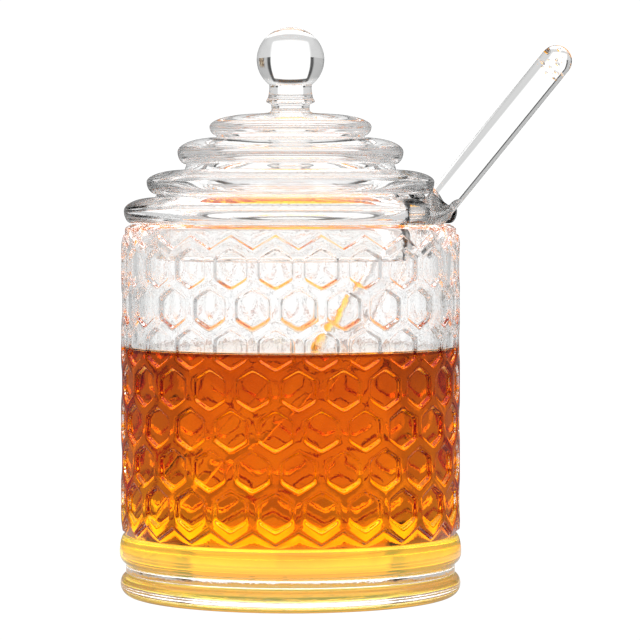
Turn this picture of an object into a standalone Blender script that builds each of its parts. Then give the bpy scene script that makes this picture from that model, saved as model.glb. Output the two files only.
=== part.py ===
"""A pressed glass honey pot: round jar with a honeycomb relief, stepped lid with a ball
knob and a notch in its rim, glass dipper handle leaning out of the notch, and the honey.

Metres, +Z up. The origin is the centre of the flat base, and the dipper leans towards +X.
"""
import math

import bmesh
import bpy
from mathutils import Euler, Matrix, Vector

# Driving dimensions
JAR_RADIUS = 0.0400            # over the ridges of the honeycomb
RELIEF_DEPTH = 0.0009          # the panels lie this far below the ridges
WALL_INSIDE = 0.0362           # inner radius of the jar
FLOOR_HEIGHT = 0.0085          # thickness of the glass base
FLOOR_CORNER = 0.0045          # rounding between the floor and the inner wall
RIM_HEIGHT = 0.0872            # top of the jar's rim, where the lid sits
RIM_RADIUS = 0.0378            # middle of the rim's top
SHOULDER_FOOT = 0.0828         # the rounding of the shoulder starts here
GROOVE = (0.0390, 0.0144)      # radius and height of the groove between the honeycomb and the foot
UPPER_RING = (0.0403, 0.0102)  # widest radius of each foot ring, and its height
LOWER_RING = (0.0401, 0.0028)
WAIST = (0.0388, 0.0058)       # radius and height of the waist between the two rings
HONEY_LEVEL = 0.0582
GAP = 0.0003                   # left between pieces that touch

# Honeycomb lattice, rows counted from the top
COLUMNS = 24
ROWS = 7
TOP_ROW_HEIGHT = 0.0774        # centre of the top row
ROW_PITCH = 0.00911
PANEL_WIDTH = 0.0072           # flat to flat, at the bottom of a panel
PANEL_BEVEL = 0.00045          # width of the slope from a panel up to its ridge
EDGE_RIDGE = 0.00166           # from the lattice up or down to the foot of a zigzag edge's slope
CUTTER_RISE = 0.0006           # the cutters stand this far out of the glass
LATTICE_TURN = math.radians(2.63)

# Lid
KNOB_RADIUS = 0.0080
KNOB_RISE = 0.00765            # the ball is a little flat: half its height
KNOB_HEIGHT = 0.12615          # centre of the ball
NECK = (                       # radius and height, down from the ball: a collar over a short waist
    (0.0051, 0.1183), (0.0053, 0.1172), (0.0058, 0.1164), (0.0046, 0.1157), (0.0045, 0.1145), (0.0053, 0.1136),
)
TIERS = (                      # radius and height of the widest part, of the top's inner edge, of the foot
    (0.01915, 0.1103, 0.0080, 0.1133, 0.0174, 0.1082),
    (0.02670, 0.1043, 0.0176, 0.1077, 0.0246, 0.1014),
    (0.03400, 0.0972, 0.0250, 0.1001, 0.0316, 0.0943),
    (0.03935, 0.0904, 0.0320, 0.0936, 0.0376, 0.0875),
)
FLANGE_RADIUS = 0.0340         # locating ring that hangs into the mouth
FLANGE_THICKNESS = 0.0032
FLANGE_BOTTOM = 0.0786
DOME_FOOT = 0.0870
DOME_TOP = 0.1042
NOTCH_DIRECTION = math.radians(-23.0)
NOTCH_WIDTH = 0.0172
NOTCH_END = 0.0225             # inner end of the notch, from the axis
NOTCH_TOP = 0.0942

# Dipper handle: a straight rod with round ends, which leans on the rim
ROD_RADIUS = 0.00365
ROD_DIRECTION = math.radians(-16.5)
ROD_ELEVATION = math.radians(50.2)
ROD_AT_RIM = 0.03243           # distance of its centre line from the axis at the rim's height
ROD_TIP_HEIGHT = 0.12495       # centre of the upper round end

JAR_STEPS = 48
LID_STEPS = 32
HONEY_STEPS = 40
ROD_STEPS = 18
MERGE = 0.00001


def clear_scene():
    for item in list(bpy.context.scene.objects):
        bpy.data.objects.remove(item, do_unlink=True)


def new_collection(name):
    collection = bpy.data.collections.new(name)
    bpy.context.scene.collection.children.link(collection)
    return collection


def clear_material(name, colour, ior):
    material = bpy.data.materials.new(name)
    material.use_nodes = True
    material.diffuse_color = (*colour, 1.0)
    shader = material.node_tree.nodes["Principled BSDF"]
    shader.inputs["Base Color"].default_value = (*colour, 1.0)
    shader.inputs["Metallic"].default_value = 0.0
    shader.inputs["Roughness"].default_value = 0.03
    shader.inputs["IOR"].default_value = ior
    shader.inputs["Transmission Weight"].default_value = 1.0
    return material


def arc(centre, reach, start, end, steps):
    """Points of an elliptic arc, as (radius, height); angles in degrees from the outside."""
    points = []
    for step in range(steps + 1):
        angle = math.radians(start + (end - start) * step / steps)
        points.append((centre[0] + reach[0] * math.cos(angle), centre[1] + reach[1] * math.sin(angle)))
    return points


def bead(top, widest, foot, upper_steps, lower_steps):
    """A rounded edge: a quarter ellipse from top out to widest, and another in to foot."""
    upper = arc((top[0], widest[1]), (widest[0] - top[0], top[1] - widest[1]), 90, 0, upper_steps)
    lower = arc((foot[0], widest[1]), (widest[0] - foot[0], widest[1] - foot[1]), 0, -90, lower_steps)
    return upper + lower[1:]


def turned(name, profile, steps, collection, material):
    """A solid turned about Z from a profile that runs down its outer side."""
    mesh = bpy.data.meshes.new(name)
    corners = [(radius, 0.0, height) for radius, height in profile]
    mesh.from_pydata(corners, [(i, i + 1) for i in range(len(corners) - 1)], [])
    mesh.materials.append(material)
    solid = bpy.data.objects.new(name, mesh)
    collection.objects.link(solid)
    screw = solid.modifiers.new("turn", "SCREW")
    screw.axis = "Z"
    screw.angle = math.tau
    screw.steps = steps
    screw.render_steps = steps
    screw.use_merge_vertices = True
    screw.merge_threshold = MERGE
    screw.use_smooth_shade = True
    return solid


def cutter_object(name, bm, collection):
    mesh = bpy.data.meshes.new(name)
    bmesh.ops.recalc_face_normals(bm, faces=bm.faces)
    bm.to_mesh(mesh)
    bm.free()
    cutter = bpy.data.objects.new(name, mesh)
    cutter.display_type = "WIRE"
    cutter.hide_render = True
    collection.objects.link(cutter)
    return cutter


def cut(solid, cutter):
    difference = solid.modifiers.new("cut " + cutter.name, "BOOLEAN")
    difference.operation = "DIFFERENCE"
    difference.object = cutter


def shade_round(solid, angle=math.radians(28)):
    """Apply the modifiers, then shade smooth with sharp edges where faces meet at a corner."""
    graph = bpy.context.evaluated_depsgraph_get()
    mesh = bpy.data.meshes.new_from_object(solid.evaluated_get(graph))
    solid.modifiers.clear()
    solid.data = mesh
    mesh.shade_smooth()
    mesh.set_sharp_from_angle(angle=angle)


def hexagon_pocket(bm, column, height, width, limits=(-1.0, 1.0)):
    """A six-sided pocket with sloping sides, sunk radially into the jar at one lattice cell.

    The pocket's vertices are kept between the two heights in limits.
    """
    bottom = JAR_RADIUS - RELIEF_DEPTH
    above = RELIEF_DEPTH + CUTTER_RISE
    spread = PANEL_BEVEL * above / RELIEF_DEPTH
    corner = math.cos(math.radians(30))
    made = bmesh.ops.create_cone(
        bm, cap_ends=True, segments=6,
        radius1=width / 2 / corner, radius2=(width / 2 + spread) / corner, depth=above,
    )
    stand = Matrix.Rotation(math.radians(90), 4, "Y") @ Matrix.Rotation(math.radians(30), 4, "Z")
    place = Matrix.Translation((bottom + above / 2, 0.0, height))
    turn = Matrix.Rotation(math.tau * column / (2 * COLUMNS), 4, "Z")
    bmesh.ops.transform(bm, matrix=turn @ place @ stand, verts=made["verts"])
    for vertex in made["verts"]:
        vertex.co.z = min(max(vertex.co.z, limits[0]), limits[1])


def row_height(row):
    return TOP_ROW_HEIGHT - row * ROW_PITCH


def honeycomb_cutters(collection):
    """The panels, and the zigzag edges above the top row and below the bottom row."""
    panels = bmesh.new()
    for row in range(ROWS):
        for column in range(COLUMNS):
            hexagon_pocket(panels, 2 * column + (row + 1) % 2, row_height(row), PANEL_WIDTH)
    cutters = [cutter_object("panel_cutter", panels, collection)]

    cell_width = math.tau * JAR_RADIUS / COLUMNS
    above = row_height(-1) + EDGE_RIDGE
    below = row_height(ROWS) - EDGE_RIDGE
    shoulder_limit = RIM_HEIGHT - 0.0010
    groove_limit = GROOVE[1] - 0.0003
    for side in range(2):
        zigzag = bmesh.new()
        for column in range(side, COLUMNS, 2):
            hexagon_pocket(zigzag, 2 * column, above, cell_width, (0.0, shoulder_limit))
            hexagon_pocket(zigzag, 2 * column, below, cell_width, (groove_limit, 1.0))
        cutters.append(cutter_object("zigzag_cutter_%d" % side, zigzag, collection))
    return cutters


def jar_profile():
    """From the middle of the floor, up the inside, over the rim and down the outside."""
    points = [(0.0, FLOOR_HEIGHT)]
    corner = (WALL_INSIDE - FLOOR_CORNER, FLOOR_HEIGHT + FLOOR_CORNER)
    points += arc(corner, (FLOOR_CORNER, FLOOR_CORNER), -90, 0, 3)
    points += [(WALL_INSIDE, FLANGE_BOTTOM), (0.0370, 0.0855)]
    points += [(0.0374, RIM_HEIGHT - 0.0003), (RIM_RADIUS, RIM_HEIGHT)]
    rim = (RIM_RADIUS, RIM_HEIGHT - 0.0002)
    points += bead(rim, (JAR_RADIUS, SHOULDER_FOOT), GROOVE, 3, 1)[1:-1]
    points += [(JAR_RADIUS, GROOVE[1] + 0.0012), (GROOVE[0] + 0.0002, GROOVE[1] + 0.0006)]
    points += bead(GROOVE, UPPER_RING, (WAIST[0], 0.0078), 4, 3)
    points += [WAIST]
    upper_reach = (LOWER_RING[0] - WAIST[0], 0.0021)
    points += arc((WAIST[0], LOWER_RING[1]), upper_reach, 90, 0, 3)
    lower_reach = (0.0027, LOWER_RING[1])
    points += arc((LOWER_RING[0] - lower_reach[0], LOWER_RING[1]), lower_reach, 0, -90, 3)[1:]
    points += [(0.0, 0.0)]
    return points


def lid_profile():
    """From the top of the knob, down the steps, round the flange and up the inner dome."""
    points = arc((0.0, KNOB_HEIGHT), (KNOB_RADIUS, KNOB_RISE), 90, -51, 9)
    points[0] = (0.0, KNOB_HEIGHT + KNOB_RISE)
    points += NECK
    for radius, height, top_radius, top_height, foot_radius, foot_height in TIERS:
        points += bead((top_radius, top_height), (radius, height), (foot_radius, foot_height), 4, 2)
    flange_inside = FLANGE_RADIUS - FLANGE_THICKNESS
    edge = FLANGE_THICKNESS / 2
    points += [(FLANGE_RADIUS, TIERS[-1][5])]
    points += arc((FLANGE_RADIUS - edge, FLANGE_BOTTOM + edge), (edge, edge), 0, -180, 4)
    points += arc((0.0, DOME_FOOT), (flange_inside, DOME_TOP - DOME_FOOT), 0, 90, 6)
    points[-1] = (0.0, DOME_TOP)
    return points


def honey_profile():
    outside = WALL_INSIDE - GAP
    bottom = FLOOR_HEIGHT + GAP
    rounding = FLOOR_CORNER
    points = [(0.0, HONEY_LEVEL), (outside, HONEY_LEVEL)]
    points += arc((outside - rounding, bottom + rounding), (rounding, rounding), 0, -90, 4)
    points += [(0.0, bottom)]
    return points


def rod_profile(radius, length):
    """A rod from -length/2 to length/2 between the centres of its round ends."""
    half = length / 2
    points = arc((0.0, half), (radius, radius), 90, 0, 4)
    points += arc((0.0, -half), (radius, radius), 0, -90, 4)
    points[0] = (0.0, half + radius)
    points[-1] = (0.0, -half - radius)
    return points


def rod_ends():
    """The centres of the rod's lower and upper round ends."""
    outward = Vector((math.cos(ROD_DIRECTION), math.sin(ROD_DIRECTION), 0.0))
    reach = 1.0 / math.tan(ROD_ELEVATION)
    low_height = FLOOR_HEIGHT + GAP + ROD_RADIUS
    low = outward * (ROD_AT_RIM + (low_height - RIM_HEIGHT) * reach)
    high = outward * (ROD_AT_RIM + (ROD_TIP_HEIGHT - RIM_HEIGHT) * reach)
    low.z = low_height
    high.z = ROD_TIP_HEIGHT
    return low, high


def place_rod(rod, low, high):
    rod.location = (low + high) / 2
    rod.rotation_euler = Euler((0.0, math.pi / 2 - ROD_ELEVATION, ROD_DIRECTION), "XYZ")


def make_rod(name, radius, collection, material):
    low, high = rod_ends()
    rod = turned(name, rod_profile(radius, (high - low).length), ROD_STEPS, collection, material)
    place_rod(rod, low, high)
    return rod


def notch_cutter(collection):
    """A round-ended slot, cut through the lid's rim and flange from the outside."""
    radius = NOTCH_WIDTH / 2
    low = FLANGE_BOTTOM - 0.002
    outside = TIERS[-1][0] + 0.003
    middle = (low + NOTCH_TOP) / 2
    depth = NOTCH_TOP - low
    turn = Matrix.Rotation(NOTCH_DIRECTION, 4, "Z")

    end = bmesh.new()
    made = bmesh.ops.create_cone(
        end, cap_ends=True, segments=24, radius1=radius, radius2=radius, depth=depth,
    )
    bmesh.ops.translate(end, verts=made["verts"], vec=(NOTCH_END + radius, 0.0, middle))
    for vertex in made["verts"]:
        if vertex.co.x > NOTCH_END + radius + MERGE:
            vertex.co.x += outside - NOTCH_END - radius
    bmesh.ops.transform(end, matrix=turn, verts=end.verts)
    return cutter_object("notch_cutter", end, collection)


def make_jar(collection, cutters, material):
    jar = turned("jar", jar_profile(), JAR_STEPS, collection, material)
    for cutter in honeycomb_cutters(cutters):
        cutter.rotation_euler.z = LATTICE_TURN
        cut(jar, cutter)
    jar.rotation_euler.z = LATTICE_TURN + math.tau / JAR_STEPS / 4
    return jar


def make_lid(collection, cutters, material):
    lid = turned("lid", lid_profile(), LID_STEPS, collection, material)
    cut(lid, notch_cutter(cutters))
    return lid


def make_honey(collection, cutters, material):
    honey = turned("honey", honey_profile(), HONEY_STEPS, collection, material)
    clearance = make_rod("dipper_cutter", ROD_RADIUS + GAP, cutters, material)
    clearance.display_type = "WIRE"
    clearance.hide_render = True
    cut(honey, clearance)
    return honey


def build():
    clear_scene()
    parts = new_collection("glass_honey_jar")
    cutters = new_collection("cutters")
    glass = clear_material("glass", (0.96, 0.97, 0.96), 1.5)
    honey_colour = clear_material("honey", (0.85, 0.36, 0.02), 1.49)
    make_jar(parts, cutters, glass)
    make_lid(parts, cutters, glass)
    make_rod("dipper_handle", ROD_RADIUS, parts, glass)
    make_honey(parts, cutters, honey_colour)
    bpy.context.view_layer.update()
    for solid in parts.objects:
        shade_round(solid)


build()
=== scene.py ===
"""Looks of the glass honey jar: pressed glass, honey, dipper handle and a white studio.

Metres, +Z up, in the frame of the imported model. The camera stands at -Y.
"""

import math
import random

import bmesh
import bpy
from mathutils import Euler, Matrix, Vector


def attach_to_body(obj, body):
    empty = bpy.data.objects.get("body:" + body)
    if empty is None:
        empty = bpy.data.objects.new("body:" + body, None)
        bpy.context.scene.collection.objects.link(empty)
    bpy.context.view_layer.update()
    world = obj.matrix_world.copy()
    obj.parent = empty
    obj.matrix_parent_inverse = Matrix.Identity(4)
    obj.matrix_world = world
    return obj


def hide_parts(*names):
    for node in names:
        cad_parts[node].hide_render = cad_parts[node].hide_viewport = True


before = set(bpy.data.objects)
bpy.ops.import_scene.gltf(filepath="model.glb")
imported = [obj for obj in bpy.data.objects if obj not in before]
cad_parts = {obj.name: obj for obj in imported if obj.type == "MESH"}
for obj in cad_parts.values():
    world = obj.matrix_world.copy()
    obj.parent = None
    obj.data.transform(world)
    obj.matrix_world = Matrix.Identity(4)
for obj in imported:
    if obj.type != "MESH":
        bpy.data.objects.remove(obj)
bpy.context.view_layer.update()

# Jar
JAR_RADIUS = 0.0400
RELIEF_DEPTH = 0.0009
WALL_INSIDE = 0.0362
FLOOR_HEIGHT = 0.0085
FLOOR_CORNER = 0.0045
UNDERSIDE_RISE = 0.0015        # the underside is slightly dished
UNDERSIDE_RADIUS = 0.0355
RIM_HEIGHT = 0.0872
RIM_RADIUS = 0.0378
SHOULDER_FOOT = 0.0828
GROOVE = (0.0390, 0.0144)      # radius and height of the groove over the foot
UPPER_RING = (0.0403, 0.0102)
WAIST_RADIUS = 0.0388          # between the foot's two rings
WAIST_TOP = 0.0078
LOWER_RING_HEIGHT = 0.0028
LOWER_RING_REACH = (0.0013, 0.0021)
FOOT_RADIUS = 0.0374           # the lower ring's rounding starts here on the underside
FOOT_ROUNDING = 0.0027
HONEY_LEVEL = 0.0582
WET_TOP = HONEY_LEVEL + 0.0003     # the glass inside is wet up to here
INNER_TOP = 0.0855             # the rim's plain glass starts here
WELD = 0.000005                # points nearer than this are joined
SHARP_ANGLE = math.radians(35)

# Honeycomb lattice, rows counted from the top
COLUMNS = 24
ROWS = 7
TOP_ROW_HEIGHT = 0.0774
ROW_PITCH = 0.00911
LATTICE_TURN = math.radians(2.63)
SIDE_STEPS = 6
ROUND_STEPS = 2 * COLUMNS * SIDE_STEPS
CELL_INRADIUS = math.pi * JAR_RADIUS / COLUMNS
HEXAGON_TOP = ROW_PITCH * 2 / 3
HEXAGON_SIDE = ROW_PITCH / 3
CELL_STRETCH = ROW_PITCH / (CELL_INRADIUS * math.sqrt(3))
CELL_LOOPS = (                 # distance from the cell's middle, floor 0 to ridge 1, corner sharpness
    (0.00320, 0.0, 18),
    (0.00355, 0.0, 18),
    (0.00366, 0.06, 18),
    (0.00378, 0.24, 18),
    (0.00392, 0.54, 18),
    (0.00406, 0.78, 18),
    (0.00420, 0.90, 20),
    (0.00438, 0.96, 24),
    (0.00462, 0.988, 40),
    (0.00490, 0.998, 80),
    (CELL_INRADIUS, 1.0, 0),
)
EDGE_LOOPS = (                 # distance above or below the lattice's zigzag line, ridge 1 to floor 0
    (0.0, 1.0), (0.00034, 0.998), (0.00062, 0.988), (0.00086, 0.96), (0.00104, 0.90), (0.00118, 0.78),
    (0.00132, 0.54), (0.00146, 0.24), (0.00158, 0.06), (0.00170, 0.0), (0.00200, 0.0),
)

# Lid
KNOB_RADIUS = 0.0080
KNOB_RISE = 0.00765
KNOB_HEIGHT = 0.12615
NECK = (
    (0.0050, 0.1199), (0.00502, 0.1194), (0.0051, 0.1183), (0.0053, 0.1172), (0.0056, 0.1167),
    (0.0058, 0.1164), (0.0057, 0.1161), (0.0050, 0.1158), (0.0046, 0.1155), (0.0045, 0.1150),
    (0.0045, 0.1144), (0.0047, 0.1139), (0.0053, 0.1136),
)
TIERS = (
    (0.01915, 0.1103, 0.0080, 0.1133, 0.0174, 0.1082),
    (0.02670, 0.1043, 0.0176, 0.1077, 0.0246, 0.1014),
    (0.03400, 0.0972, 0.0250, 0.1001, 0.0316, 0.0943),
    (0.03935, 0.0904, 0.0320, 0.0936, 0.0376, 0.0875),
)
FLANGE_RADIUS = 0.0340
FLANGE_THICKNESS = 0.0032
FLANGE_BOTTOM = 0.0786
DOME_FOOT = 0.0870
DOME_TOP = 0.1042
NOTCH_DIRECTION = math.radians(-23.0)
NOTCH_WIDTH = 0.0172
NOTCH_END = 0.0225
NOTCH_TOP = 0.0942

# Handle
ROD_RADIUS = 0.00365
ROD_DIRECTION = math.radians(-16.5)
ROD_ELEVATION = math.radians(50.2)
ROD_AT_RIM = 0.03243
ROD_TIP_HEIGHT = 0.12495
GAP = 0.0003
BUBBLES = 26
BUBBLE_RADII = (0.00010, 0.00034)
BUBBLES_OUT = (0.25, 0.78)     # from the axis and along it, in radii of the handle
BUBBLES_ALONG = (-0.9, 0.4)
BUBBLE_SEED = 5

# Finish
GLASS_IOR = 1.5
MATCHED_IOR = 1.0              # glass against honey doesn't bend light
HONEY_IOR = 1.03               # the little that honey bends more than glass
HONEY_SKIN_IOR = 1.6
GLASS_TINT = (0.985, 0.990, 0.985)
GLASS_PATCHES = 90.0           # scale of the uneven polish, and how uneven it is
GLASS_UNEVEN = 0.012
HONEY_DENSITY = 250.0
HONEY_ABSORPTION = (0.985, 0.918, 0.0)
# Painted light and shade: the honey is lighter at the bottom, where light enters from below, and deeper
# and redder towards the top
HONEY_LIGHT_AND_SHADE_TINTS = (                # share of the honey's height, colour
    (0.08, (1.0, 1.0, 1.0)),
    (0.30, (1.0, 0.66, 0.6)),
    (0.60, (0.97, 0.50, 0.4)),
    (0.82, (0.84, 0.38, 0.3)),
    (1.00, (0.66, 0.26, 0.2)),
)
SKIN_DEPTH = 0.0001            # thickness of the honey's reflecting plate
HONEY_BLUR = 0.12
HONEY_CLOUDS = (95.0, 2.0, 0.8)
HONEY_RIPPLES = (180.0, 2.0)
HONEY_CLOUD_SHIFT = 0.060      # how far, in metres, the clouds move the tints up and down
WALL_BAND = 0.0008             # the honey's outside takes its tint and blur this near the glass
HONEY_SKIN_TINTS = (
    (0.30, (1.0, 0.95, 0.70)),
    (0.70, (0.95, 0.88, 0.60)),
)
# Painted glow: the honey's bottom emits a little lemon light, standing in for light scattered inside it
HONEY_PAINTED_GLOW = (1.0, 0.98, 0.26)
HONEY_PAINTED_GLOW_LEVEL = 0.34        # painted glow, for light that the honey scatters at the bottom
HONEY_PAINTED_GLOW_TOP = 0.013
# Painted shade: a dark band just under the honey's surface, standing in for the shaded line of the
# meniscus
HONEY_MENISCUS_SHADE = (0.20, 0.05, 0.02)
HONEY_MENISCUS_SHADE_DEPTH = 0.0009

# Studio light: azimuths in radians from behind the jar, and heights of the unit direction
CAMERA_WHITE = 1.05            # what the camera sees of the backdrop
WALL_LEVEL = 0.54
FRONT_LEVEL = 0.42
PANEL_LEVEL = 1.14
PANEL_HALF_WIDTH = 0.45
PANEL_DISTANCE = 0.30          # from the jar to where the panel's light starts on the floor
CEILING_LEVEL = 0.9
CEILING_EDGE = 0.56
FLOOR_LEVEL = 0.70
FLOOR_SIZE = 6.0
FLOOR_DROP = 0.00005           # keeps the floor clear of the jar's underside
PAINTED_FLOOR_GLOW_LEVEL = 3.0               # painted pool of light on the floor close behind the jar
PAINTED_FLOOR_GLOW_REACH = 0.15
PAINTED_FLOOR_GLOW_SOFTNESS = 0.08
GLOSS_SHARE = 0.20             # how much of the light mirrored off the outside is kept
CEILING_GLOSS = 0.80           # the same for the light from above
FRAME_LEVEL = 0.06             # a dark frame round the panel
FRAME_WIDTH = 0.11
PANEL_TOP = 0.49
DARK_STRIPS = (                # azimuth, half width, lowest and highest direction
    (1.32, 0.035, -0.50, 0.30),
    (-1.26, 0.035, -0.50, 0.30),
)
SHELVES = (                    # the brown of a room that the knob mirrors on one side
    (0.40, (0.06, 0.03, 0.015)),
    (0.50, (0.36, 0.24, 0.13)),
    (0.62, (0.75, 0.66, 0.50)),
)
SHELVES_SIDES = (0.70, 1.05)
SHELVES_HEIGHTS = (-0.35, 0.22)
BOUNCES = 32
GLOSSY_BOUNCES = 14

# Camera; its shift is in pixels of the photograph
PHOTO_SIZE = 640
CAMERA_LENS = 178.5
CAMERA_PLACE = (0.0, -0.750, 0.0907)
CAMERA_SHIFT = (29.5, -110.4)

OVERLAP = 0.00015              # the honey reaches this far into the glass, so that no air gap shows
LID_STEPS = 240
ROD_STEPS = 72


def arc(centre, reach, start, end, steps):
    """Points of an ellipse's arc, from and to angles in degrees."""
    points = []
    for step in range(steps + 1):
        angle = math.radians(start + (end - start) * step / steps)
        across = centre[0] + reach[0] * math.cos(angle)
        height = centre[1] + reach[1] * math.sin(angle)
        points.append((across, height))
    return points


def bead(top, widest, foot, upper_steps, lower_steps):
    """A rounded ring's outline: a quarter of an ellipse above its widest point and one below."""
    upper = arc((top[0], widest[1]), (widest[0] - top[0], top[1] - widest[1]), 90, 0, upper_steps)
    lower = arc((foot[0], widest[1]), (widest[0] - foot[0], widest[1] - foot[1]), 0, -90, lower_steps)
    return upper + lower[1:]


def new_object(name, mesh):
    piece = bpy.data.objects.new(name, mesh)
    bpy.context.scene.collection.objects.link(piece)
    return piece


def turned_mesh(bm, profile, steps, turn=0.0):
    """Rings about Z from a profile of (radius, height); a radius of 0 is one point."""
    rings = []
    for radius, height in profile:
        if radius < 1e-7:
            rings.append([bm.verts.new((0.0, 0.0, height))])
            continue
        ring = []
        for step in range(steps):
            angle = turn + math.tau * step / steps
            ring.append(bm.verts.new((radius * math.cos(angle), radius * math.sin(angle), height)))
        rings.append(ring)
    join_rings(bm, rings, steps)
    return rings


def join_rings(bm, rings, steps):
    for upper, lower in zip(rings, rings[1:]):
        for step in range(steps):
            after = (step + 1) % steps
            corners = []
            for vertex in (upper[step % len(upper)], lower[step % len(lower)],
                           lower[after % len(lower)], upper[after % len(upper)]):
                if vertex not in corners:
                    corners.append(vertex)
            bm.faces.new(corners)


def finished(bm, name, materials, recalculate=True):
    if recalculate:
        bmesh.ops.recalc_face_normals(bm, faces=bm.faces)
    mesh = bpy.data.meshes.new(name)
    bm.to_mesh(mesh)
    bm.free()
    for material in materials:
        mesh.materials.append(material)
    mesh.shade_smooth()
    return new_object(name, mesh)


# Jar

def row_height(row):
    return TOP_ROW_HEIGHT - row * ROW_PITCH


def shoulder_limit(height):
    """Largest radius of the shoulder at a height."""
    if height <= SHOULDER_FOOT:
        return JAR_RADIUS
    rise = min((height - SHOULDER_FOOT) / (RIM_HEIGHT - 0.0002 - SHOULDER_FOOT), 1.0)
    return RIM_RADIUS + (JAR_RADIUS - RIM_RADIUS) * math.sqrt(1.0 - rise * rise)


def relief_radius(level, along, height):
    """Radius of the relief: level 0 is a panel's flat floor, level 1 the ridge."""
    floor = (JAR_RADIUS - RELIEF_DEPTH) / math.cos(along / JAR_RADIUS)
    return min(floor + (JAR_RADIUS - floor) * level, shoulder_limit(height))


def jar_point(bm, angle, radius, height):
    return bm.verts.new((radius * math.cos(angle), radius * math.sin(angle), height))


def add_cell(bm, row, column):
    middle = LATTICE_TURN + math.tau * column / (2 * COLUMNS)
    height = row_height(row)
    loops = [[jar_point(bm, middle, JAR_RADIUS - RELIEF_DEPTH, height)]]
    for inradius, level, sharpness in CELL_LOOPS:
        loop = []
        for side in range(6):
            for step in range(SIDE_STEPS):
                across = (2.0 * step / SIDE_STEPS - 1.0) * math.tan(math.pi / 6)
                offset = math.atan(across)
                distance = inradius / math.cos(offset)
                if sharpness:
                    nearer = math.cos(offset) ** sharpness
                    other = math.cos(math.pi / 3 - abs(offset)) ** sharpness
                    distance = inradius / (nearer + other) ** (1.0 / sharpness)
                direction = side * math.pi / 3 + offset
                along = distance * math.cos(direction)
                point_height = height + distance * math.sin(direction) * CELL_STRETCH
                radius = relief_radius(level, along, point_height)
                loop.append(jar_point(bm, middle + along / JAR_RADIUS, radius, point_height))
        loops.append(loop)
    join_rings(bm, loops, 6 * SIDE_STEPS)


def zigzag(step):
    """Share of the way from a cell's middle to its side, at one of the jar's columns of points."""
    place = step % (2 * SIDE_STEPS)
    return min(place, 2 * SIDE_STEPS - place) / SIDE_STEPS


def edge_rings(bm, top):
    """Rings that follow the zigzag edge above the top row or below the bottom row."""
    rings = []
    for away, level in EDGE_LOOPS:
        ring = []
        for step in range(ROUND_STEPS):
            drop = HEXAGON_TOP + (HEXAGON_SIDE - HEXAGON_TOP) * zigzag(step)
            if top:
                height = row_height(-1) - drop + away
            else:
                height = row_height(ROWS) + drop - away
            radius = JAR_RADIUS - RELIEF_DEPTH * (1.0 - level)
            radius = min(radius, shoulder_limit(height))
            ring.append(jar_point(bm, LATTICE_TURN + math.tau * step / ROUND_STEPS, radius, height))
        rings.append(ring)
    return rings


def jar_inside():
    """From the middle of the floor, up the inside and over the rim."""
    points = [(0.0, FLOOR_HEIGHT), (0.010, FLOOR_HEIGHT), (0.022, FLOOR_HEIGHT), (0.0305, FLOOR_HEIGHT)]
    corner = (WALL_INSIDE - FLOOR_CORNER, FLOOR_HEIGHT + FLOOR_CORNER)
    points += arc(corner, (FLOOR_CORNER, FLOOR_CORNER), -90, 0, 10)
    points += [(WALL_INSIDE, 0.0200), (WALL_INSIDE, 0.0400), (WALL_INSIDE, WET_TOP)]
    points += [(WALL_INSIDE, 0.0700), (WALL_INSIDE, 0.0770), (WALL_INSIDE + 0.00005, 0.0785)]
    points += [(0.03655, 0.0820), (0.0370, INNER_TOP), (0.0371, 0.0863)]
    points += arc((0.0378, 0.0865), (0.0006, 0.0007), 180, 90, 4)
    return points


def jar_foot():
    """From the lattice's foot, over the two rings and to the middle of the underside."""
    points = [(GROOVE[0] + 0.0001, GROOVE[1] + 0.0002)]
    points += bead(GROOVE, UPPER_RING, (WAIST_RADIUS, WAIST_TOP), 12, 8)
    points += [(WAIST_RADIUS, 0.0070), (WAIST_RADIUS, 0.0058)]
    points += arc((WAIST_RADIUS, LOWER_RING_HEIGHT), LOWER_RING_REACH, 90, 0, 8)
    points += arc((FOOT_RADIUS, LOWER_RING_HEIGHT), (FOOT_ROUNDING, LOWER_RING_HEIGHT), 0, -90, 8)[1:]
    for step in range(12):
        across = UNDERSIDE_RADIUS * (1.0 - step / 12)
        points.append((across, UNDERSIDE_RISE * (1.0 - (across / UNDERSIDE_RADIUS) ** 2)))
    points.append((0.0, UNDERSIDE_RISE))
    return points


def make_jar(materials):
    """Outer glass, glass wetted by the honey and the inner glass above it."""
    bm = bmesh.new()
    for row in range(ROWS):
        for column in range(COLUMNS):
            add_cell(bm, row, 2 * column + (row + 1) % 2)

    top = edge_rings(bm, True)
    shoulder = []
    for height in (0.0862, 0.0865, 0.0868, 0.08695, 0.0870):
        shoulder.append((shoulder_limit(height), height))
    inside = turned_mesh(bm, jar_inside(), ROUND_STEPS, LATTICE_TURN)
    outside = turned_mesh(bm, shoulder[::-1], ROUND_STEPS, LATTICE_TURN)
    join_rings(bm, [inside[-1], outside[0]], ROUND_STEPS)
    join_rings(bm, [outside[-1], top[-1]], ROUND_STEPS)
    join_rings(bm, top, ROUND_STEPS)

    bottom = edge_rings(bm, False)
    foot = turned_mesh(bm, jar_foot(), ROUND_STEPS, LATTICE_TURN)
    join_rings(bm, bottom, ROUND_STEPS)
    join_rings(bm, [bottom[-1], foot[0]], ROUND_STEPS)
    bmesh.ops.remove_doubles(bm, verts=bm.verts, dist=WELD)

    for face in bm.faces:
        middle = face.calc_center_median()
        if math.hypot(middle.x, middle.y) > WALL_INSIDE + 0.0009 or middle.z < FLOOR_HEIGHT - 0.0001:
            continue
        if middle.z < WET_TOP:
            face.material_index = 1
        elif middle.z < INNER_TOP:
            face.material_index = 2
    return finished(bm, "jar_glass", materials)


# Lid

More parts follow.
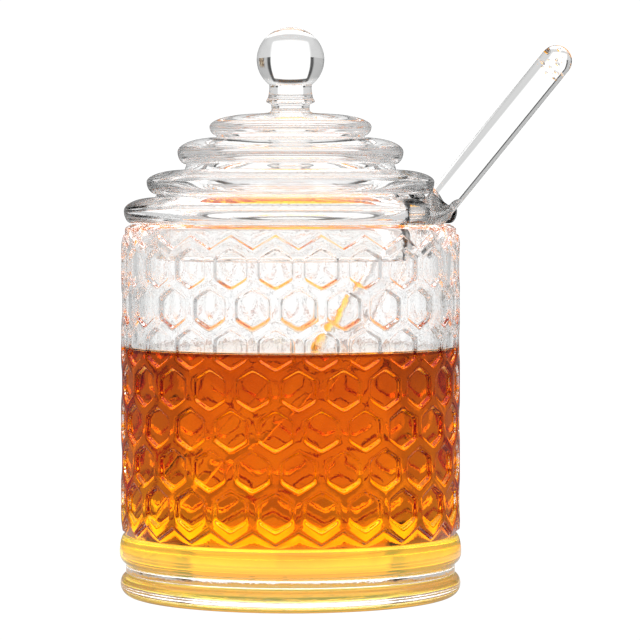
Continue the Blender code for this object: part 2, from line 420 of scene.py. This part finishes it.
def lid_profile():
    """From the knob's top, down the steps, round the flange and up inside the dome."""
    points = arc((0.0, KNOB_HEIGHT), (KNOB_RADIUS, KNOB_RISE), 90, -51, 36)
    points[0] = (0.0, KNOB_HEIGHT + KNOB_RISE)
    points += NECK
    for radius, height, top_radius, top_height, foot_radius, foot_height in TIERS:
        points += bead((top_radius, top_height), (radius, height), (foot_radius, foot_height), 14, 6)
    flange_inside = FLANGE_RADIUS - FLANGE_THICKNESS
    edge = FLANGE_THICKNESS / 2
    points += [(0.0360, TIERS[-1][5]), (FLANGE_RADIUS, TIERS[-1][5] - 0.0003), (FLANGE_RADIUS, 0.0850)]
    points += arc((FLANGE_RADIUS - edge, FLANGE_BOTTOM + edge), (edge, edge), 0, -180, 14)
    points += arc((0.0, DOME_FOOT), (flange_inside, DOME_TOP - DOME_FOOT), 0, 90, 30)
    points[-1] = (0.0, DOME_TOP)
    return points


def notch_cutter():
    radius = NOTCH_WIDTH / 2
    low = FLANGE_BOTTOM - 0.002
    outside = TIERS[-1][0] + 0.003
    bm = bmesh.new()
    made = bmesh.ops.create_cone(
        bm, cap_ends=True, segments=64, radius1=radius, radius2=radius, depth=NOTCH_TOP - low,
    )
    bmesh.ops.translate(bm, verts=made["verts"], vec=(NOTCH_END + radius, 0.0, (low + NOTCH_TOP) / 2))
    for vertex in made["verts"]:
        if vertex.co.x > NOTCH_END + radius + 0.00001:
            vertex.co.x += outside - NOTCH_END - radius
    bmesh.ops.transform(bm, matrix=Matrix.Rotation(NOTCH_DIRECTION, 4, "Z"), verts=bm.verts)
    return finished(bm, "notch_cutter", [])


def cut_away(piece, cutter):
    difference = piece.modifiers.new("cut", "BOOLEAN")
    difference.operation = "DIFFERENCE"
    difference.object = cutter
    graph = bpy.context.evaluated_depsgraph_get()
    mesh = bpy.data.meshes.new_from_object(piece.evaluated_get(graph))
    piece.modifiers.clear()
    piece.data = mesh
    bpy.data.objects.remove(cutter, do_unlink=True)
    mesh.shade_smooth()
    mesh.set_sharp_from_angle(angle=SHARP_ANGLE)


def make_lid(materials):
    bm = bmesh.new()
    turned_mesh(bm, lid_profile(), LID_STEPS)
    bmesh.ops.remove_doubles(bm, verts=bm.verts, dist=WELD)
    lid = finished(bm, "lid_glass", materials)
    cut_away(lid, notch_cutter())
    return lid


# Handle

def rod_ends():
    """The centres of the handle's round ends."""
    outward = Vector((math.cos(ROD_DIRECTION), math.sin(ROD_DIRECTION), 0.0))
    reach = 1.0 / math.tan(ROD_ELEVATION)
    low_height = FLOOR_HEIGHT + GAP + ROD_RADIUS
    low = outward * (ROD_AT_RIM + (low_height - RIM_HEIGHT) * reach)
    high = outward * (ROD_AT_RIM + (ROD_TIP_HEIGHT - RIM_HEIGHT) * reach)
    low.z = low_height
    high.z = ROD_TIP_HEIGHT
    return low, high


def rod_mesh(radius):
    low, high = rod_ends()
    half = (high - low).length / 2
    profile = arc((0.0, half), (radius, radius), 90, 0, 16)
    profile += arc((0.0, -half), (radius, radius), 0, -90, 16)
    profile[0] = (0.0, half + radius)
    profile[-1] = (0.0, -half - radius)
    bm = bmesh.new()
    turned_mesh(bm, profile, ROD_STEPS)
    turn = Euler((0.0, math.pi / 2 - ROD_ELEVATION, ROD_DIRECTION), "XYZ").to_matrix().to_4x4()
    bmesh.ops.transform(bm, matrix=Matrix.Translation((low + high) / 2) @ turn, verts=bm.verts)
    return bm


def add_bubbles(bm):
    """Small air bubbles in the handle's upper tip."""
    rng = random.Random(BUBBLE_SEED)
    low, high = rod_ends()
    lengthways = (high - low).normalized()
    sideways = lengthways.orthogonal().normalized()
    for _ in range(BUBBLES):
        turn = Matrix.Rotation(rng.uniform(0.0, math.tau), 3, lengthways)
        out = turn @ sideways * ROD_RADIUS * rng.uniform(*BUBBLES_OUT)
        middle = high + out + lengthways * rng.uniform(*BUBBLES_ALONG) * ROD_RADIUS
        made = bmesh.ops.create_uvsphere(
            bm, u_segments=16, v_segments=10, radius=rng.uniform(*BUBBLE_RADII),
            matrix=Matrix.Translation(middle),
        )
        faces = {face for vertex in made["verts"] for face in vertex.link_faces}
        bmesh.ops.reverse_faces(bm, faces=list(faces))


def make_rod(materials):
    bm = rod_mesh(ROD_RADIUS)
    every = bm.verts[:] + bm.edges[:] + bm.faces[:]
    bmesh.ops.bisect_plane(bm, geom=every, plane_co=(0.0, 0.0, HONEY_LEVEL), plane_no=(0.0, 0.0, 1.0))
    for face in bm.faces:
        if face.calc_center_median().z < HONEY_LEVEL:
            face.material_index = 1
    bmesh.ops.recalc_face_normals(bm, faces=bm.faces)
    add_bubbles(bm)
    return finished(bm, "handle_glass", materials, recalculate=False)


# Honey

def honey_profile():
    """The honey's body, under its reflecting plate."""
    outside = WALL_INSIDE + OVERLAP
    bottom = FLOOR_HEIGHT - OVERLAP
    rounding = FLOOR_CORNER
    top = HONEY_LEVEL - 2 * SKIN_DEPTH
    points = [(0.0, top), (0.0200, top), (0.0345, top), (outside, top)]
    points += [(outside, 0.0400), (outside, 0.0200)]
    points += arc((outside - rounding, bottom + rounding), (rounding, rounding), 0, -90, 10)
    points += [(0.015, bottom), (0.0, bottom)]
    return points


def honey_skin_profile():
    """The honey's reflecting surface: a thin plate over its body, drawn up a little at the wall."""
    rim = WALL_INSIDE - 0.0001
    low = HONEY_LEVEL - SKIN_DEPTH
    points = [(0.0, HONEY_LEVEL), (0.0200, HONEY_LEVEL), (0.0330, HONEY_LEVEL)]
    for radius, rise in ((0.0345, 0.00003), (0.0352, 0.00006), (0.0358, 0.00014), (rim, 0.0003)):
        points.append((radius, HONEY_LEVEL + rise))
    points += [(rim, low), (0.0345, low), (0.0200, low), (0.0, low)]
    return points


def make_honey(materials):
    """One mesh of the body and the plate, each cut round the handle."""
    both = bmesh.new()
    for index, profile in enumerate((honey_profile(), honey_skin_profile())):
        bm = bmesh.new()
        turned_mesh(bm, profile, ROUND_STEPS, LATTICE_TURN)
        part = finished(bm, "honey_part", [])
        cut_away(part, finished(rod_mesh(ROD_RADIUS - OVERLAP), "handle_cutter", []))
        for face in part.data.polygons:
            face.material_index = index
        both.from_mesh(part.data)
        bpy.data.objects.remove(part, do_unlink=True)
    honey = finished(both, "honey_fill", materials)
    honey.data.set_sharp_from_angle(angle=SHARP_ANGLE)
    return honey


# Materials

class Graph:
    """Short ways to add and join the nodes of a material or of the world."""

    def __init__(self, tree):
        self.nodes = tree.nodes
        self.links = tree.links

    def put(self, socket, value):
        if isinstance(value, bpy.types.NodeSocket):
            self.links.new(value, socket)
        elif isinstance(value, tuple) and len(value) < len(socket.default_value):
            socket.default_value = (*value, 1.0)
        else:
            socket.default_value = value

    def maths(self, operation, *values, clamp=False):
        node = self.nodes.new("ShaderNodeMath")
        node.operation = operation
        node.use_clamp = clamp
        for socket, value in zip(node.inputs, values):
            self.put(socket, value)
        return node.outputs["Value"]

    def above(self, value, edge, softness):
        """0 below the edge and 1 above it, with a soft change."""
        return self.maths("MULTIPLY_ADD", value, 1.0 / softness, 0.5 - edge / softness, clamp=True)

    def between(self, value, low, high, softness):
        lower = self.above(value, low, softness)
        upper = self.above(value, high, softness)
        return self.maths("SUBTRACT", lower, upper, clamp=True)

    def mix(self, factor, first, second):
        node = self.nodes.new("ShaderNodeMix")
        node.data_type = "RGBA"
        self.put(node.inputs[0], factor)
        self.put(node.inputs[6], first)
        self.put(node.inputs[7], second)
        return node.outputs[2]

    def coordinates(self, kind):
        return self.nodes.new("ShaderNodeTexCoord").outputs[kind]

    def separate(self, vector):
        node = self.nodes.new("ShaderNodeSeparateXYZ")
        self.put(node.inputs["Vector"], vector)
        return node.outputs

    def noise(self, vector, scale, detail=3.0, distortion=0.0):
        node = self.nodes.new("ShaderNodeTexNoise")
        node.inputs["Scale"].default_value = scale
        node.inputs["Detail"].default_value = detail
        node.inputs["Distortion"].default_value = distortion
        self.put(node.inputs["Vector"], vector)
        return node.outputs[0]

    def ramp(self, value, *stops):
        node = self.nodes.new("ShaderNodeValToRGB")
        elements = node.color_ramp.elements
        while len(elements) < len(stops):
            elements.new(0.5)
        for element, (position, colour) in zip(elements, stops):
            element.position = position
            element.color = (*colour, 1.0)
        self.put(node.inputs["Fac"], value)
        return node.outputs["Color"]

    def as_seen(self, light, kept=GLOSS_SHARE):
        """White to the camera, and dimmed where it is mirrored off a surface and not seen through one."""
        path = self.nodes.new("ShaderNodeLightPath")
        through = self.maths("SUBTRACT", 1.0, path.outputs["Is Transmission Ray"])
        mirrored = self.maths("MULTIPLY", path.outputs["Is Glossy Ray"], through)
        dimming = self.maths("MULTIPLY", mirrored, self.maths("SUBTRACT", 1.0, kept))
        light = self.mix(dimming, light, (0.0, 0.0, 0.0))
        return self.mix(path.outputs["Is Camera Ray"], light, (CAMERA_WHITE,) * 3)

    def bump(self, height, distance):
        node = self.nodes.new("ShaderNodeBump")
        node.inputs["Strength"].default_value = 1.0
        node.inputs["Distance"].default_value = distance
        self.put(node.inputs["Height"], height)
        return node.outputs["Normal"]


def new_material(name):
    material = bpy.data.materials.new(name)
    material.use_nodes = True
    graph = Graph(material.node_tree)
    return material, graph, graph.nodes["Principled BSDF"]


def glass_material(name, ior, roughness, ripple_size, ripple_depth):
    """Glass with a faint tint, a slightly uneven polish and shallow ripples."""
    material, graph, shader = new_material(name)
    place = graph.coordinates("Object")
    ripple = graph.noise(place, 1.0 / ripple_size, 4.0, 0.4)
    patches = graph.noise(place, GLASS_PATCHES)
    tint = graph.ramp(patches, (0.35, GLASS_TINT), (0.65, (1.0, 1.0, 1.0)))
    graph.put(shader.inputs["Base Color"], tint)
    polish = graph.maths("MULTIPLY_ADD", patches, GLASS_UNEVEN, roughness)
    graph.put(shader.inputs["Roughness"], polish)
    graph.put(shader.inputs["Normal"], graph.bump(ripple, ripple_depth))
    shader.inputs["IOR"].default_value = ior
    shader.inputs["Transmission Weight"].default_value = 1.0
    return material


def wall_share(graph, place):
    """1 on the honey's outside, along the glass, and 0 on its top, on its bottom and round the handle."""
    east, north, _ = graph.separate(place)
    east = graph.maths("POWER", east, 2.0)
    north = graph.maths("POWER", north, 2.0)
    across = graph.maths("SQRT", graph.maths("ADD", east, north))
    return graph.above(across, WALL_INSIDE - WALL_BAND, WALL_BAND / 2)


def honey_painted_light_and_shade(graph, place, clouds):
    """Painted light and shade: lighter at the bottom, redder and deeper towards the top, with a painted
    dark band of shade just under the surface.
    """
    height = graph.separate(place)[2]
    lowered = graph.maths("SUBTRACT", height, HONEY_CLOUD_SHIFT / 2)
    level = graph.maths("MULTIPLY_ADD", clouds, HONEY_CLOUD_SHIFT, lowered)
    share = graph.maths("DIVIDE", level, HONEY_LEVEL)
    # painted shade: the dark band just under the surface
    edge = graph.between(height, HONEY_LEVEL - HONEY_MENISCUS_SHADE_DEPTH, HONEY_LEVEL - 0.0001, 0.0003)
    return graph.mix(edge, graph.ramp(share, *HONEY_LIGHT_AND_SHADE_TINTS), HONEY_MENISCUS_SHADE)


def honey_body_material():
    """Honey: its colour comes from its depth, with painted light and shade along the glass, and a painted
    glow, a little emission, at the bottom where light enters below.
    """
    material, graph, shader = new_material("honey_body")
    place = graph.coordinates("Object")
    clouds = graph.noise(place, *HONEY_CLOUDS)
    wall = wall_share(graph, place)
    # the honey's outside along the glass takes the painted light and shade
    colour = graph.mix(wall, (1.0, 1.0, 1.0), honey_painted_light_and_shade(graph, place, clouds))
    graph.put(shader.inputs["Base Color"], colour)
    roughness = graph.maths("MULTIPLY_ADD", clouds, 0.03, HONEY_BLUR)
    graph.put(shader.inputs["Roughness"], graph.maths("MULTIPLY", roughness, wall))
    ripple = graph.maths("MULTIPLY", graph.noise(place, *HONEY_RIPPLES), wall)
    graph.put(shader.inputs["Normal"], graph.bump(ripple, 0.0006))
    shader.inputs["IOR"].default_value = HONEY_IOR
    shader.inputs["Transmission Weight"].default_value = 1.0
    # painted glow: emission at the bottom of the honey, fading out above the glow's top
    height = graph.separate(place)[2]
    painted_glow = graph.maths("SUBTRACT", 1.0, graph.above(height, HONEY_PAINTED_GLOW_TOP, 0.005))
    graph.put(shader.inputs["Emission Color"], graph.mix(painted_glow, (0.0, 0.0, 0.0), HONEY_PAINTED_GLOW))
    shader.inputs["Emission Strength"].default_value = HONEY_PAINTED_GLOW_LEVEL
    volume = graph.nodes.new("ShaderNodeVolumeAbsorption")
    volume.inputs["Color"].default_value = (*HONEY_ABSORPTION, 1.0)
    volume.inputs["Density"].default_value = HONEY_DENSITY
    graph.links.new(volume.outputs["Volume"], graph.nodes["Material Output"].inputs["Volume"])
    return material


def honey_skin_material():
    """The honey's glossy surface, with no depth of colour of its own."""
    material, graph, shader = new_material("honey_skin")
    place = graph.coordinates("Object")
    clouds = graph.noise(place, *HONEY_CLOUDS)
    graph.put(shader.inputs["Base Color"], graph.ramp(clouds, *HONEY_SKIN_TINTS))
    graph.put(shader.inputs["Roughness"], graph.maths("MULTIPLY_ADD", clouds, 0.01, 0.01))
    graph.put(shader.inputs["Normal"], graph.bump(graph.noise(place, *HONEY_RIPPLES), 0.00002))
    shader.inputs["IOR"].default_value = HONEY_SKIN_IOR
    shader.inputs["Transmission Weight"].default_value = 1.0
    return material


def floor_material():
    """A plain white floor whose light is painted in as emission, brightest beside the jar and behind it.
    """
    material, graph, shader = new_material("pale_floor")
    shader.inputs["Base Color"].default_value = (0.0, 0.0, 0.0, 1.0)
    shader.inputs["Roughness"].default_value = 1.0
    shader.inputs["Specular IOR Level"].default_value = 0.0
    place = graph.coordinates("Object")
    east, north, _ = graph.separate(place)
    along = graph.maths("POWER", east, 2.0)
    away = graph.maths("SQRT", graph.maths("ADD", along, graph.maths("POWER", north, 2.0)))
    azimuth = graph.maths("ABSOLUTE", graph.maths("ARCTAN2", east, north))
    panel = graph.maths("SUBTRACT", 1.0, graph.above(azimuth, PANEL_HALF_WIDTH, 0.07))
    panel = graph.maths("MULTIPLY", panel, graph.above(away, PANEL_DISTANCE, 0.05))
    # painted pool of light on the floor close beside and behind the jar
    painted_glow = graph.maths("SUBTRACT", 1.0, graph.above(away, PAINTED_FLOOR_GLOW_REACH, PAINTED_FLOOR_GLOW_SOFTNESS))
    painted_glow = graph.maths("MULTIPLY", painted_glow, graph.above(north, 0.0, 0.06))
    level = graph.mix(panel, (FLOOR_LEVEL,) * 3, (PANEL_LEVEL,) * 3)
    level = graph.mix(painted_glow, level, (PAINTED_FLOOR_GLOW_LEVEL,) * 3)
    graph.put(shader.inputs["Emission Color"], graph.as_seen(level))
    shader.inputs["Emission Strength"].default_value = 1.0
    return material


# Studio

def make_world():
    """A light grey room with a bright panel behind the jar and a few thin dark edges."""
    world = bpy.data.worlds.new("studio")
    bpy.context.scene.world = world
    world.use_nodes = True
    graph = Graph(world.node_tree)
    background = graph.nodes["Background"]
    place = graph.coordinates("Generated")
    east, north, up = graph.separate(place)
    azimuth = graph.maths("ARCTAN2", east, north)
    around = graph.maths("ABSOLUTE", azimuth)

    colour = graph.mix(graph.above(around, 2.1, 0.5), (WALL_LEVEL,) * 3, (FRONT_LEVEL,) * 3)
    for centre, half_width, bottom, top in DARK_STRIPS:
        band = graph.between(azimuth, centre - half_width, centre + half_width, 0.015)
        band = graph.maths("MULTIPLY", band, graph.between(up, bottom, top, 0.04))
        colour = graph.mix(band, colour, (FRAME_LEVEL,) * 3)
    shelves = graph.ramp(graph.noise(place, 14.0, 6.0), *SHELVES)
    room = graph.between(azimuth, *SHELVES_SIDES, 0.08)
    room = graph.maths("MULTIPLY", room, graph.between(up, *SHELVES_HEIGHTS, 0.08))
    colour = graph.mix(room, colour, shelves)
    ceiling = graph.above(up, CEILING_EDGE, 0.12)
    colour = graph.mix(ceiling, colour, (CEILING_LEVEL,) * 3)
    for margin, softness, level in ((FRAME_WIDTH, 0.06, FRAME_LEVEL), (0.0, 0.03, PANEL_LEVEL)):
        wide = graph.between(azimuth, -PANEL_HALF_WIDTH - margin, PANEL_HALF_WIDTH + margin, softness)
        low = graph.maths("SUBTRACT", 1.0, graph.above(up, PANEL_TOP + margin, softness))
        colour = graph.mix(graph.maths("MULTIPLY", wide, low), colour, (level,) * 3)

    kept = graph.maths("MULTIPLY_ADD", ceiling, CEILING_GLOSS - GLOSS_SHARE, GLOSS_SHARE)
    graph.put(background.inputs["Color"], graph.as_seen(colour, kept))
    background.inputs["Strength"].default_value = 1.0


def make_floor():
    bm = bmesh.new()
    bmesh.ops.create_grid(bm, x_segments=8, y_segments=8, size=FLOOR_SIZE)
    bmesh.ops.translate(bm, verts=bm.verts, vec=(0.0, 0.0, -FLOOR_DROP))
    floor = finished(bm, "floor", [floor_material()])


def make_camera():
    data = bpy.data.cameras.new("camera")
    data.lens = CAMERA_LENS
    data.sensor_width = 36.0
    data.shift_x = CAMERA_SHIFT[0] / PHOTO_SIZE
    data.shift_y = CAMERA_SHIFT[1] / PHOTO_SIZE
    data.clip_end = 100.0
    camera = bpy.data.objects.new("camera", data)
    camera.location = CAMERA_PLACE
    camera.rotation_euler = (math.pi / 2, 0.0, 0.0)
    bpy.context.scene.collection.objects.link(camera)
    bpy.context.scene.camera = camera


def attach(piece, node):
    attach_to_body(piece, "root")
    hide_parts(node)


def build():
    scene = bpy.context.scene
    scene.view_settings.view_transform = "Standard"
    scene.cycles.max_bounces = BOUNCES
    scene.cycles.transmission_bounces = BOUNCES
    scene.cycles.glossy_bounces = GLOSSY_BOUNCES
    scene.cycles.transparent_max_bounces = BOUNCES
    make_camera()
    make_world()
    make_floor()
    pressed_glass = glass_material("pressed_glass", GLASS_IOR, 0.0, 0.0016, 0.00002)
    wet_glass = glass_material("wet_glass", MATCHED_IOR, 0.0, 0.0016, 0.00002)
    inner_glass = glass_material("inner_glass", GLASS_IOR, 0.06, 0.0022, 0.00008)
    smooth_glass = glass_material("smooth_glass", GLASS_IOR, 0.0, 0.0060, 0.00003)
    attach(make_jar([pressed_glass, wet_glass, inner_glass]), "jar")
    attach(make_lid([smooth_glass]), "lid")
    attach(make_rod([smooth_glass, wet_glass]), "dipper_handle")
    attach(make_honey([honey_body_material(), honey_skin_material()]), "honey")


build()
